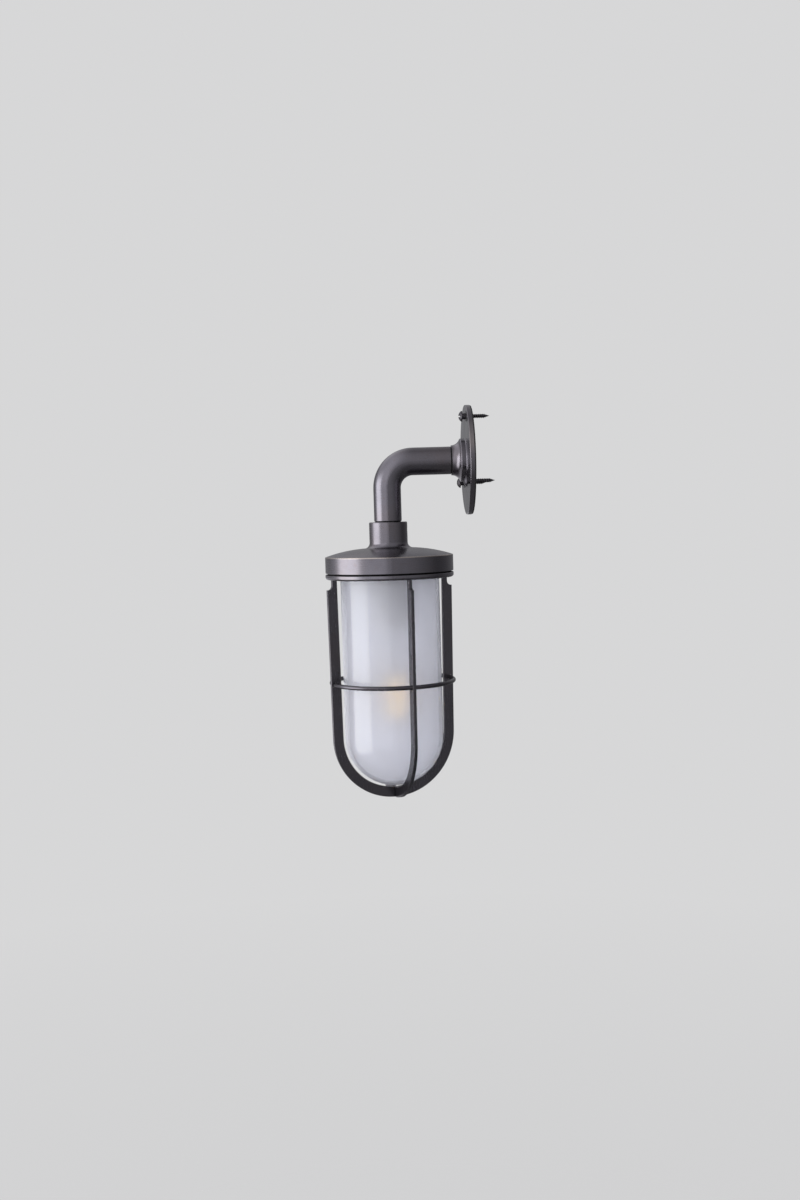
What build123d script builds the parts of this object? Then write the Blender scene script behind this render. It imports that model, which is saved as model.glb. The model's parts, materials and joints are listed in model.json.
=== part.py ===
"""Well glass light on a right-angled wall bracket.

The wall plane is Y = 0 and the light stands out along -Y. The origin is on the
wall, on the axis of the bracket's arm, and +Z is up. Sizes are in millimetres.
"""

from build123d import *
from math import cos, hypot, radians, sin, sqrt
import os

os.makedirs("parts", exist_ok=True)

# Clearances
fit_clearance = 0.15  # between turned pieces that are fixed in each other
running_clearance = 0.4  # between pieces that turn or slide in each other
touch_gap = 0.3  # between pieces that spring or press on each other

# Turns, in degrees
quarter_turn = 90.0
full_turn = 4 * quarter_turn

# Wall plate and its gasket
plate_diameter = 100.5
plate_thickness = 4.1
plate_edge_round = 0.7
gasket_thickness = 1.2
gasket_inset = 0.4
boss_diameter = 39.6
boss_height = 1.4
boss_fillet = 0.9
nut_recess_depth = 3.1

# Wall screws
screw_circle = 80.0
screw_count = 3
screw_start_angle = 90.0
screw_core_diameter = 3.2
screw_shank_diameter = 4.5
screw_collar_diameter = 5.6
screw_collar_height = 2.0
screw_head_diameter = 9.9
screw_head_rim = 0.8
screw_head_dome = 2.6
screw_slot_width = 1.6
screw_slot_depth = 2.1
screw_thread_length = 13.0
screw_point_length = 5.0

# Arm and its socket
arm_reach = 78.2
arm_diameter = 25.4
arm_wall = 2.5
arm_bend_radius = 24.0
arm_spigot_diameter = 23.0
arm_relief_width = 0.8
arm_relief_depth = 0.8
socket_flange_length = 3.6
socket_flange_round = 0.9
socket_cove_length = 7.6
socket_cove_hollow = 1.5
socket_lip_length = 0.4
socket_lip_wall = 0.9
socket_web = 1.6
socket_spigot_diameter = 22.0
socket_spigot_wall = 2.2
backnut_thickness = 2.6
backnut_across_flats = 27.0
grommet_bore_diameter = 8.0
grommet_length = 7.0
grommet_flange_thickness = 1.0
grommet_flange_width = 1.5

# Cap
collar_drop = 55.0
collar_diameter = 35.2
collar_height = 23.8
collar_chamfer = 0.6
collar_fillet = 5.2
collar_socket_depth = 15.0
collar_screw_diameter = 5.0
collar_screw_length = 4.6
collar_screw_bite = 0.5
collar_screw_slot_width = 0.9
collar_screw_slot_depth = 1.4
dome_drop = 7.3
dome_bulge = 1.7
cap_wall = 3.4
cap_edge_round = 0.5
rim_height = 14.8
rim_wall = 4.1
cavity_diameter = 85.0

# Locknut and the stirrup that carries the lampholder
locknut_across_flats = 31.0
locknut_thickness = 4.0
stirrup_gauge = 1.6
stirrup_width = 18.0
stirrup_height = 21.0
stirrup_bend = 2.5
stirrup_nut_room = 1.5
stirrup_ring_width = 4.6
nipple_diameter = 10.0
nipple_bore_diameter = 6.5
nipple_depth = 8.0
holder_nut_thickness = 3.0
holder_nut_across_flats = 14.0
earth_screw_diameter = 4.0
earth_screw_head_diameter = 7.5
earth_screw_head_height = 2.4
earth_screw_room = 1.2

# Lampholder
holder_diameter = 40.0
holder_height = 44.0
holder_edge_round = 2.0
holder_lip_height = 3.0
shell_gauge = 0.6
shell_flange_width = 3.0
contact_strip_width = 6.0
contact_strip_length = 16.0
contact_strip_gauge = 0.8
contact_drop = 2.2
terminal_width = 7.0
terminal_length = 6.0
terminal_height = 8.0
terminal_room = 1.2
terminal_screw_diameter = 3.0
terminal_screw_length = 4.0
terminal_screw_head_diameter = 4.6
terminal_screw_head_height = 1.5

# Lamp
lamp_thread_diameter = 26.2
lamp_thread_depth = 1.1
lamp_thread_pitch = 3.63
lamp_thread_turns = 4
lamp_cap_gauge = 0.6
lamp_cap_lead = 1.8
lamp_cap_skirt = 5.5
lamp_tip_diameter = 9.0
lamp_tip_height = 1.5
insulator_height = 4.6
bulb_diameter = 60.0
bulb_drop = 64.0
bulb_wall = 0.9
bulb_neck_diameter = 25.0
bulb_neck_seat = 6.0
bulb_shoulder_angle = 55.0
stem_seal_thickness = 1.2
stem_flare_height = 20.0
stem_rod_diameter = 3.2
stem_button_height = 1.0
filament_count = 4
filament_circle = 14.0
filament_diameter = 1.8
filament_length = 36.0
support_gauge = 1.0
support_hub_diameter = 5.4

# Well glass and its seals
glass_diameter = 91.4
glass_wall = 3.5
glass_flange_width = 4.5
glass_flange_thickness = 4.0
glass_flange_round = 1.0
glass_floor_gap = 2.0
upper_seal_thickness = 2.5
lower_seal_thickness = 1.5

# Guard
guard_gap = 1.3
guard_overhang = 0.15
guard_flange_thickness = 4.4
guard_edge_round = 2.2
guard_bore_gap = 0.7
guard_spigot_height = 9.2
guard_spigot_wall = 4.0
guard_thread_depth = 0.8
guard_thread_pitch = 2.5
guard_thread_lead = 1.0
hoop_drop = 311.0
hoop_thickness = 3.2
hoop_depth = 9.5
hoop_glass_gap = 4.0
hoop_overhang = 1.7
hoop_edge_chamfer = 0.35
hoop_notch_depth = 4.7
hoop_notch_height = 9.0
hoop_notch_ledge = 0.7
hoop_turn = 17.0
band_drop = 202.5
band_rod_diameter = 4.0
band_inset = 2.6

# Distances out from the wall
plate_back = gasket_thickness
plate_face = plate_back + plate_thickness
boss_face = plate_face + boss_height
socket_step = boss_face + socket_flange_length
socket_lip_start = socket_step + socket_cove_length
socket_front = socket_lip_start + socket_lip_length
arm_start = boss_face + socket_web
backnut_front = plate_back + nut_recess_depth
backnut_back = backnut_front - backnut_thickness
screw_head_base = plate_face + screw_collar_height
screw_dome_base = screw_head_base + screw_head_rim
screw_head_top = screw_dome_base + screw_head_dome

# Heights of the cap, the glass and the guard
collar_top_z = -collar_drop
collar_shoulder_z = collar_top_z - collar_socket_depth
collar_screw_z = collar_top_z - collar_socket_depth / 2
crown_z = collar_top_z - collar_height
rim_top_z = crown_z - dome_drop
rim_bottom_z = rim_top_z - rim_height
nut_seat_z = crown_z - cap_wall
guard_top_z = rim_bottom_z - guard_gap
guard_bottom_z = guard_top_z - guard_flange_thickness
spigot_top_z = guard_top_z + guard_spigot_height
flange_bottom_z = guard_top_z + lower_seal_thickness
flange_top_z = flange_bottom_z + glass_flange_thickness
cap_seat_z = flange_top_z + upper_seal_thickness

# Heights of the stirrup, the lampholder and the lamp
locknut_top_z = nut_seat_z - stirrup_gauge
locknut_bottom_z = locknut_top_z - locknut_thickness
holder_top_z = nut_seat_z - stirrup_height
stirrup_floor_z = holder_top_z + stirrup_gauge
nipple_bottom_z = holder_top_z - nipple_depth
nipple_top_z = stirrup_floor_z + holder_nut_thickness
holder_bottom_z = holder_top_z - holder_height
lamp_shoulder_z = holder_bottom_z - lamp_cap_skirt
lamp_thread_top_z = holder_bottom_z + lamp_thread_pitch * lamp_thread_turns
lamp_cap_top_z = lamp_thread_top_z + lamp_cap_lead
lamp_tip_base_z = lamp_cap_top_z + insulator_height
lamp_tip_z = lamp_tip_base_z + lamp_tip_height
contact_bottom_z = lamp_tip_z + touch_gap
chamber_roof_z = contact_bottom_z + contact_drop
bulb_centre_z = lamp_shoulder_z - bulb_drop
bulb_top_z = lamp_shoulder_z + bulb_neck_seat
filament_bottom_z = bulb_centre_z - filament_length / 2
filament_top_z = bulb_centre_z + filament_length / 2

# Radii
plate_radius = plate_diameter / 2
boss_radius = boss_diameter / 2
arm_radius = arm_diameter / 2
arm_bore = arm_radius - arm_wall
arm_relief = arm_radius - arm_relief_depth
arm_seat = arm_radius + fit_clearance
arm_spigot_radius = arm_spigot_diameter / 2
arm_spigot_seat = arm_spigot_radius + fit_clearance
socket_lip_radius = arm_seat + socket_lip_wall
socket_spigot_radius = socket_spigot_diameter / 2
socket_spigot_seat = socket_spigot_radius + fit_clearance
socket_bore = socket_spigot_radius - socket_spigot_wall
backnut_radius = backnut_across_flats / sqrt(3)
nut_recess_radius = backnut_radius + running_clearance
screw_hole_radius = screw_shank_diameter / 2 + fit_clearance
collar_radius = collar_diameter / 2
collar_screw_hole = collar_screw_diameter / 2 + fit_clearance
glass_radius = glass_diameter / 2
glass_bore = glass_radius - glass_wall
flange_radius = glass_radius + glass_flange_width
seal_radius = flange_radius - glass_flange_round
guard_bore = glass_radius + guard_bore_gap
guard_spigot_bore = flange_radius + running_clearance
guard_spigot_radius = guard_spigot_bore + guard_spigot_wall
cap_thread_radius = guard_spigot_radius + running_clearance
cap_seat_radius = guard_spigot_bore - touch_gap
cap_radius = cap_thread_radius + rim_wall
cavity_radius = cavity_diameter / 2
guard_radius = cap_radius + guard_overhang
hoop_inner = glass_radius + hoop_glass_gap
hoop_outer = hoop_inner + hoop_depth
hoop_top_outer = guard_radius + hoop_overhang
hoop_top_inner = hoop_top_outer - hoop_depth
band_radius = hoop_outer - band_inset
locknut_radius = locknut_across_flats / sqrt(3)
stirrup_inner = locknut_radius + stirrup_nut_room
stirrup_outer = stirrup_inner + stirrup_gauge
nut_seat_radius = hypot(stirrup_outer, stirrup_width / 2) + running_clearance
nipple_seat = nipple_diameter / 2 + fit_clearance
nipple_bore = nipple_bore_diameter / 2
holder_nut_radius = holder_nut_across_flats / sqrt(3)
earth_screw_offset = holder_nut_radius + earth_screw_room + earth_screw_head_diameter / 2
terminal_offset = stirrup_width / 2 + terminal_room + terminal_screw_head_diameter / 2
lamp_thread_radius = lamp_thread_diameter / 2
lamp_root_radius = lamp_thread_radius - lamp_thread_depth
lamp_cap_bore = lamp_root_radius - lamp_cap_gauge
lamp_tip_radius = lamp_tip_diameter / 2
shell_bore = lamp_thread_radius + running_clearance
shell_radius = shell_bore + shell_gauge
holder_bore = shell_radius + fit_clearance
bulb_neck_outer = bulb_neck_diameter / 2
bulb_seat_outer = lamp_cap_bore - touch_gap
bulb_neck_inner = bulb_seat_outer - bulb_wall
stem_rod_radius = stem_rod_diameter / 2

# Planes and axes. In wall_section the first coordinate is the distance out from the
# wall and the second runs down; in lamp_section they are a radius and a height.
wall_section = Plane(origin=(0, 0, 0), x_dir=(0, -1, 0), z_dir=(1, 0, 0))
lamp_section = Plane.XZ.offset(arm_reach)
lamp_axis = Axis((0, -arm_reach, 0), (0, 0, 1))


def from_wall(distance):
    """A plane parallel to the wall, facing out from it."""
    return Plane.XZ.offset(distance)


def level(height, turn=0.0):
    """A level plane centred on the lamp's axis, turned about it in degrees."""
    angle = radians(turn)
    return Plane((0, -arm_reach, height), x_dir=(cos(angle), sin(angle), 0), z_dir=(0, 0, 1))


def upright(turn):
    """A plane through the lamp's axis, with radius across and height up."""
    angle = radians(turn)
    return Plane(
        (0, -arm_reach, 0), x_dir=(cos(angle), sin(angle), 0), z_dir=(sin(angle), -cos(angle), 0)
    )


def corner(outline, *point):
    """The corner of a sketched outline that is nearest to a point."""
    return outline.vertices().sort_by_distance(point)[0]


def thread_outline(crest, root, top, pitch, turns):
    """Corners of a thread's outline from the top down, a quarter pitch apart."""
    quarter = pitch / 4
    corners = []
    for turn in range(turns):
        start = top - turn * pitch
        corners += [(crest, start), (crest, start - quarter)]
        corners += [(root, start - 2 * quarter), (root, start - 3 * quarter)]
    return corners + [(crest, top - turns * pitch)]


# Gasket between the wall and the plate
with BuildPart() as wall_gasket:
    with BuildSketch(from_wall(0)):
        Circle(plate_radius - gasket_inset)
        Circle(nut_recess_radius + gasket_inset, mode=Mode.SUBTRACT)
        with PolarLocations(screw_circle / 2, screw_count, start_angle=screw_start_angle):
            Circle(screw_hole_radius, mode=Mode.SUBTRACT)
    extrude(amount=gasket_thickness)
wall_gasket.part.label = "wall_gasket"
export_step(wall_gasket.part, "parts/wall_gasket.step")

# Round wall plate with a raised ring under the socket and a recess for the backnut
with BuildPart() as wall_plate:
    with BuildSketch(wall_section) as plate_outline:
        with BuildLine():
            Polyline(
                (plate_back, nut_recess_radius),
                (plate_back, plate_radius),
                (plate_face, plate_radius),
                (plate_face, boss_radius),
                (boss_face, boss_radius),
                (boss_face, socket_spigot_seat),
                (backnut_front, socket_spigot_seat),
                (backnut_front, nut_recess_radius),
                close=True,
            )
        make_face()
        fillet(corner(plate_outline, plate_face, plate_radius), plate_edge_round)
        fillet(corner(plate_outline, plate_face, boss_radius), boss_fillet)
    revolve(axis=Axis.Y)
    with BuildSketch(from_wall(plate_back)):
        with PolarLocations(screw_circle / 2, screw_count, start_angle=screw_start_angle):
            Circle(screw_hole_radius)
    extrude(amount=plate_thickness, mode=Mode.SUBTRACT)
wall_plate.part.label = "wall_plate"
export_step(wall_plate.part, "parts/wall_plate.step")

# One wall screw, drawn at its thread's core, with a shoulder under its domed head
with BuildPart() as wall_screw:
    with BuildSketch(Plane.XZ):
        with BuildLine():
            Polyline(
                (0, screw_head_top),
                (0, -screw_thread_length - screw_point_length),
                (screw_core_diameter / 2, -screw_thread_length),
                (screw_core_diameter / 2, 0),
                (screw_shank_diameter / 2, 0),
                (screw_shank_diameter / 2, plate_face),
                (screw_collar_diameter / 2, plate_face),
                (screw_collar_diameter / 2, screw_head_base),
                (screw_head_diameter / 2, screw_head_base),
                (screw_head_diameter / 2, screw_dome_base),
            )
            TangentArc((0, screw_head_top), (screw_head_diameter / 2, screw_dome_base), tangent=(1, 0))
        make_face()
    revolve(axis=Axis.Z)
    with BuildSketch(Plane.XY.offset(screw_head_top - screw_slot_depth)):
        Rectangle(screw_slot_width, screw_head_diameter)
    extrude(amount=screw_slot_depth, mode=Mode.SUBTRACT)

# The screws in the plate
with BuildPart(from_wall(0)) as wall_screws:
    with PolarLocations(screw_circle / 2, screw_count, start_angle=screw_start_angle):
        add(wall_screw.part)
wall_screws.part.label = "wall_screws"
export_step(wall_screws.part, "parts/wall_screws.step")

# Flared socket: flange, cove and lip outside, the arm's seat and a spigot inside
with BuildPart() as arm_socket:
    with BuildSketch(wall_section) as socket_outline:
        with BuildLine():
            Polyline(
                (socket_lip_start, socket_lip_radius),
                (socket_front, socket_lip_radius),
                (socket_front, arm_seat),
                (arm_start, arm_seat),
                (arm_start, socket_bore),
                (backnut_back, socket_bore),
                (backnut_back, socket_spigot_radius),
                (boss_face, socket_spigot_radius),
                (boss_face, boss_radius),
                (socket_step, boss_radius),
            )
            SagittaArc(
                (socket_lip_start, socket_lip_radius), (socket_step, boss_radius), socket_cove_hollow
            )
        make_face()
        fillet(corner(socket_outline, socket_step, boss_radius), socket_flange_round)
    revolve(axis=Axis.Y)
arm_socket.part.label = "arm_socket"
export_step(arm_socket.part, "parts/arm_socket.step")

# Hexagonal nut on the socket's spigot, in the plate's recess
with BuildPart() as socket_backnut:
    with BuildSketch(from_wall(backnut_back)):
        RegularPolygon(backnut_radius, 6)
        Circle(socket_spigot_seat, mode=Mode.SUBTRACT)
    extrude(amount=backnut_thickness)
socket_backnut.part.label = "socket_backnut"
export_step(socket_backnut.part, "parts/socket_backnut.step")

# Rubber bush where the supply enters the spigot
with BuildPart() as cable_grommet:
    with BuildSketch(from_wall(backnut_back - grommet_flange_thickness)):
        Circle(socket_bore + grommet_flange_width)
    extrude(amount=grommet_flange_thickness)
    with BuildSketch(from_wall(backnut_back)):
        Circle(socket_bore - fit_clearance)
    extrude(amount=grommet_length)
    with BuildSketch(from_wall(backnut_back - grommet_flange_thickness)):
        Circle(grommet_bore_diameter / 2)
    extrude(amount=grommet_flange_thickness + grommet_length, mode=Mode.SUBTRACT)
cable_grommet.part.label = "cable_grommet"
export_step(cable_grommet.part, "parts/cable_grommet.step")

# Plane that the grub screw's tip rests on, facing the wall
grub_seat = Plane(
    (0, arm_radius - collar_screw_bite - arm_reach, collar_screw_z), x_dir=(1, 0, 0), z_dir=(0, 1, 0)
)

# Bent tube with a turned-down end that goes through the cap, a spot for the grub screw,
# and a fine groove just outside the socket and the collar
with BuildPart() as bracket_arm:
    with BuildLine(wall_section) as arm_route:
        FilletPolyline(
            (arm_start, 0), (arm_reach, 0), (arm_reach, -collar_shoulder_z), radius=arm_bend_radius
        )
    with BuildSketch(from_wall(arm_start)):
        Circle(arm_radius)
        Circle(arm_bore, mode=Mode.SUBTRACT)
    sweep(path=arm_route.line)
    with BuildSketch(level(locknut_bottom_z)):
        Circle(arm_spigot_radius)
        Circle(arm_bore, mode=Mode.SUBTRACT)
    extrude(amount=collar_shoulder_z - locknut_bottom_z)
    with BuildSketch(grub_seat):
        Circle(collar_screw_hole)
    extrude(amount=collar_screw_bite, mode=Mode.SUBTRACT)
    with BuildSketch(from_wall(socket_front), level(collar_top_z)):
        Circle(arm_seat)
        Circle(arm_relief, mode=Mode.SUBTRACT)
    extrude(amount=arm_relief_width, mode=Mode.SUBTRACT)
bracket_arm.part.label = "bracket_arm"
export_step(bracket_arm.part, "parts/bracket_arm.step")

# Cap: collar, dome and rim outside; inside, seats for the nut and the glass seal, and a
# groove for the guard's spigot
dome_slope = dome_drop / (cap_radius - collar_radius)
cavity_top_z = nut_seat_z - dome_slope * (cavity_radius - nut_seat_radius)
groove_top_z = spigot_top_z + touch_gap
with BuildPart() as cap:
    with BuildSketch(lamp_section) as cap_outline:
        with BuildLine():
            SagittaArc((collar_radius, crown_z), (cap_radius, rim_top_z), dome_bulge)
            Polyline(
                (cap_radius, rim_top_z),
                (cap_radius, rim_bottom_z),
                (cap_thread_radius, rim_bottom_z),
                (cap_thread_radius, groove_top_z),
                (cap_seat_radius, groove_top_z),
                (cap_seat_radius, cap_seat_z),
                (cavity_radius, cap_seat_z),
                (cavity_radius, cavity_top_z),
                (nut_seat_radius, nut_seat_z),
                (arm_spigot_seat, nut_seat_z),
                (arm_spigot_seat, collar_shoulder_z),
                (arm_seat, collar_shoulder_z),
                (arm_seat, collar_top_z),
                (collar_radius - collar_chamfer, collar_top_z),
                (collar_radius, collar_top_z - collar_chamfer),
                (collar_radius, crown_z),
            )
        make_face()
        fillet(corner(cap_outline, collar_radius, crown_z), collar_fillet)
        fillet(corner(cap_outline, cap_radius, rim_top_z), cap_edge_round)
        fillet(corner(cap_outline, cap_radius, rim_bottom_z), cap_edge_round)
    revolve(axis=lamp_axis)
    with BuildSketch(grub_seat):
        Circle(collar_screw_hole)
    extrude(amount=collar_radius, mode=Mode.SUBTRACT)
cap.part.label = "cap"
export_step(cap.part, "parts/cap.step")

# Slotted grub screw through the collar, on the side that faces the wall
with BuildPart() as collar_screw:
    with BuildSketch(grub_seat):
        Circle(collar_screw_diameter / 2)
    extrude(amount=collar_screw_length)
    with BuildSketch(grub_seat.offset(collar_screw_length - collar_screw_slot_depth)):
        Rectangle(collar_screw_diameter, collar_screw_slot_width)
    extrude(amount=collar_screw_slot_depth, mode=Mode.SUBTRACT)
collar_screw.part.label = "collar_screw"
export_step(collar_screw.part, "parts/collar_screw.step")

# Stirrup under the cap: a ring round the arm's end, two legs and a floor
with BuildPart() as holder_stirrup:
    with BuildSketch(upright(hoop_turn)):
        with Locations((0, nut_seat_z - stirrup_height / 2)):
            RectangleRounded(2 * stirrup_outer, stirrup_height, stirrup_bend)
            RectangleRounded(
                2 * stirrup_inner,
                stirrup_height - 2 * stirrup_gauge,
                stirrup_bend - stirrup_gauge,
                mode=Mode.SUBTRACT,
            )
    extrude(amount=stirrup_width / 2, both=True)
    with BuildSketch(level(locknut_top_z)):
        Circle(arm_spigot_seat + stirrup_ring_width)
    extrude(amount=stirrup_gauge)
    with BuildSketch(level(locknut_top_z)):
        Circle(arm_spigot_seat)
    extrude(amount=stirrup_gauge, mode=Mode.SUBTRACT)
    with BuildSketch(level(holder_top_z, hoop_turn)):
        Circle(nipple_seat)
        with Locations((earth_screw_offset, 0)):
            Circle(earth_screw_diameter / 2 + fit_clearance)
    extrude(amount=stirrup_gauge, mode=Mode.SUBTRACT)
holder_stirrup.part.label = "holder_stirrup"
export_step(holder_stirrup.part, "parts/holder_stirrup.step")

# Nut on the arm's end, clamping the stirrup against the cap
with BuildPart() as arm_locknut:
    with BuildSketch(level(locknut_bottom_z, hoop_turn)):
        RegularPolygon(locknut_radius, 6)
        Circle(arm_spigot_seat, mode=Mode.SUBTRACT)
    extrude(amount=locknut_thickness)
arm_locknut.part.label = "arm_locknut"
export_step(arm_locknut.part, "parts/arm_locknut.step")

# Earth screw in the stirrup's floor, its end flush with the underside
with BuildPart() as earth_screw:
    with BuildSketch(level(holder_top_z, hoop_turn)):
        with Locations((earth_screw_offset, 0)):
            Circle(earth_screw_diameter / 2)
    extrude(amount=stirrup_gauge)
    with BuildSketch(level(stirrup_floor_z, hoop_turn)):
        with Locations((earth_screw_offset, 0)):
            Circle(earth_screw_head_diameter / 2)
    extrude(amount=earth_screw_head_height)
earth_screw.part.label = "earth_screw"
export_step(earth_screw.part, "parts/earth_screw.step")

# Hollow nipple from the lampholder up through the stirrup's floor
with BuildPart() as holder_nipple:
    with BuildSketch(level(nipple_bottom_z)):
        Circle(nipple_diameter / 2)
        Circle(nipple_bore, mode=Mode.SUBTRACT)
    extrude(amount=nipple_top_z - nipple_bottom_z)
holder_nipple.part.label = "holder_nipple"
export_step(holder_nipple.part, "parts/holder_nipple.step")

# Nut on the nipple
with BuildPart() as holder_nut:
    with BuildSketch(level(stirrup_floor_z, hoop_turn)):
        RegularPolygon(holder_nut_radius, 6)
        Circle(nipple_seat, mode=Mode.SUBTRACT)
    extrude(amount=holder_nut_thickness)
holder_nut.part.label = "holder_nut"
export_step(holder_nut.part, "parts/holder_nut.step")

# Porcelain lampholder: open below for the lamp, with two terminal pockets on top
terminal_turns = (hoop_turn + quarter_turn, hoop_turn - quarter_turn)
terminal_bottom_z = holder_top_z - terminal_height
with BuildPart() as lampholder_body:
    with BuildSketch(lamp_section) as holder_outline:
        with BuildLine():
            Polyline(
                (nipple_seat, holder_top_z),
                (holder_diameter / 2, holder_top_z),
                (holder_diameter / 2, holder_bottom_z),
                (holder_bore, holder_bottom_z),
                (holder_bore, chamber_roof_z),
                (nipple_bore, chamber_roof_z),
                (nipple_bore, nipple_bottom_z),
                (nipple_seat, nipple_bottom_z),
                close=True,
            )
        make_face()
        fillet(corner(holder_outline, holder_diameter / 2, holder_top_z), holder_edge_round)
        fillet(corner(holder_outline, holder_diameter / 2, holder_bottom_z), holder_edge_round)
    revolve(axis=lamp_axis)
    for turn in terminal_turns:
        with BuildSketch(level(terminal_bottom_z, turn)):
            with Locations((terminal_offset, 0)):
                Rectangle(terminal_length + 2 * fit_clearance, terminal_width + 2 * fit_clearance)
        extrude(amount=terminal_height, mode=Mode.SUBTRACT)
lampholder_body.part.label = "lampholder_body"
export_step(lampholder_body.part, "parts/lampholder_body.step")

# Screw shell, flanged in at the top where it is fixed to the chamber's roof
with BuildPart() as lampholder_shell:
    with BuildSketch(lamp_section):
        with BuildLine():
            Polyline(
                (shell_radius, chamber_roof_z),
                (shell_radius, holder_bottom_z + holder_lip_height),
                (shell_bore, holder_bottom_z + holder_lip_height),
                (shell_bore, chamber_roof_z - shell_gauge),
                (shell_bore - shell_flange_width, chamber_roof_z - shell_gauge),
                (shell_bore - shell_flange_width, chamber_roof_z),
                close=True,
            )
        make_face()
    revolve(axis=lamp_axis)
lampholder_shell.part.label = "lampholder_shell"
export_step(lampholder_shell.part, "parts/lampholder_shell.step")

# Centre contact: a strip on the chamber's roof with a tongue stepped down to the lamp's tip
strip_end = contact_strip_length / 2
with BuildPart() as lampholder_contact:
    with BuildSketch(upright(hoop_turn)):
        with BuildLine():
            Polyline(
                (-strip_end, chamber_roof_z),
                (strip_end, chamber_roof_z),
                (strip_end, contact_bottom_z),
                (-lamp_tip_radius, contact_bottom_z),
                (-lamp_tip_radius, contact_bottom_z + contact_strip_gauge),
                (strip_end - contact_strip_gauge, contact_bottom_z + contact_strip_gauge),
                (strip_end - contact_strip_gauge, chamber_roof_z - contact_strip_gauge),
                (-strip_end, chamber_roof_z - contact_strip_gauge),
                close=True,
            )
        make_face()
    extrude(amount=contact_strip_width / 2, both=True)
lampholder_contact.part.label = "lampholder_contact"
export_step(lampholder_contact.part, "parts/lampholder_contact.step")

# Two brass terminals in the porcelain's pockets
with BuildPart() as lampholder_terminals:
    for turn in terminal_turns:
        with BuildSketch(level(terminal_bottom_z, turn)):
            with Locations((terminal_offset, 0)):
                Rectangle(terminal_length, terminal_width)
        extrude(amount=terminal_height)
        with BuildSketch(level(holder_top_z - terminal_screw_length, turn)):
            with Locations((terminal_offset, 0)):
                Circle(terminal_screw_diameter / 2 + fit_clearance)
        extrude(amount=terminal_screw_length, mode=Mode.SUBTRACT)
lampholder_terminals.part.label = "lampholder_terminals"
export_step(lampholder_terminals.part, "parts/lampholder_terminals.step")

# The terminals' screws
with BuildPart() as terminal_screws:
    for turn in terminal_turns:
        with BuildSketch(level(holder_top_z - terminal_screw_length, turn)):
            with Locations((terminal_offset, 0)):
                Circle(terminal_screw_diameter / 2)
        extrude(amount=terminal_screw_length)
        with BuildSketch(level(holder_top_z, turn)):
            with Locations((terminal_offset, 0)):
                Circle(terminal_screw_head_diameter / 2)
        extrude(amount=terminal_screw_head_height)
terminal_screws.part.label = "terminal_screws"
export_step(terminal_screws.part, "parts/terminal_screws.step")

# Lamp cap: a threaded shell with a plain skirt
with BuildPart() as lamp_cap:
    with BuildSketch(lamp_section):
        with BuildLine():
            Polyline(
                (lamp_cap_bore, lamp_cap_top_z),
                (lamp_root_radius, lamp_cap_top_z),
                *thread_outline(
                    lamp_thread_radius,
                    lamp_root_radius,
                    lamp_thread_top_z,
                    lamp_thread_pitch,
                    lamp_thread_turns,
                ),
                (lamp_thread_radius, lamp_shoulder_z),
                (lamp_cap_bore, lamp_shoulder_z),
                close=True,
            )
        make_face()
    revolve(axis=lamp_axis)
lamp_cap.part.label = "lamp_cap"
export_step(lamp_cap.part, "parts/lamp_cap.step")

# Dark glass cone between the lamp's shell and its tip
with BuildPart() as lamp_insulator:
    with BuildSketch(lamp_section):
        with BuildLine():
            Polyline(
                (0, lamp_cap_top_z),
                (lamp_root_radius, lamp_cap_top_z),
                (lamp_tip_radius, lamp_tip_base_z),
                (0, lamp_tip_base_z),
                close=True,
            )
        make_face()
    revolve(axis=lamp_axis)
lamp_insulator.part.label = "lamp_insulator"
export_step(lamp_insulator.part, "parts/lamp_insulator.step")

# Solder tip of the lamp
with BuildPart() as lamp_contact:
    with BuildSketch(lamp_section):
        with BuildLine():
            Polyline((0, lamp_tip_z), (0, lamp_tip_base_z), (lamp_tip_radius, lamp_tip_base_z))
            TangentArc((0, lamp_tip_z), (lamp_tip_radius, lamp_tip_base_z), tangent=(1, 0))
        make_face()
    revolve(axis=lamp_axis)
lamp_contact.part.label = "lamp_contact"
export_step(lamp_contact.part, "parts/lamp_contact.step")

# Hollow bulb: a neck in the lamp's cap that widens into a round globe
globe_outer = bulb_diameter / 2
globe_inner = globe_outer - bulb_wall
shoulder_across = cos(radians(quarter_turn - bulb_shoulder_angle))
shoulder_up = sin(radians(quarter_turn - bulb_shoulder_angle))
outer_shoulder = (globe_outer * shoulder_across, bulb_centre_z + globe_outer * shoulder_up)
inner_shoulder = (globe_inner * shoulder_across, bulb_centre_z + globe_inner * shoulder_up)
with BuildPart() as lamp_envelope:
    with BuildSketch(lamp_section):
        with BuildLine():
            Polyline(
                (bulb_neck_inner, lamp_shoulder_z),
                (bulb_neck_inner, bulb_top_z),
                (bulb_seat_outer, bulb_top_z),
                (bulb_seat_outer, lamp_shoulder_z),
                (bulb_neck_outer, lamp_shoulder_z),
            )
            TangentArc((bulb_neck_outer, lamp_shoulder_z), outer_shoulder, tangent=(0, -1))
            ThreePointArc(
                outer_shoulder, (globe_outer, bulb_centre_z), (0, bulb_centre_z - globe_outer)
            )
            Line((0, bulb_centre_z - globe_outer), (0, bulb_centre_z - globe_inner))
            ThreePointArc(
                (0, bulb_centre_z - globe_inner), (globe_inner, bulb_centre_z), inner_shoulder
            )
            TangentArc((bulb_neck_inner, lamp_shoulder_z), inner_shoulder, tangent=(0, -1))
        make_face()
    revolve(axis=lamp_axis)
lamp_envelope.part.label = "lamp_envelope"
export_step(lamp_envelope.part, "parts/lamp_envelope.step")

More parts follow.
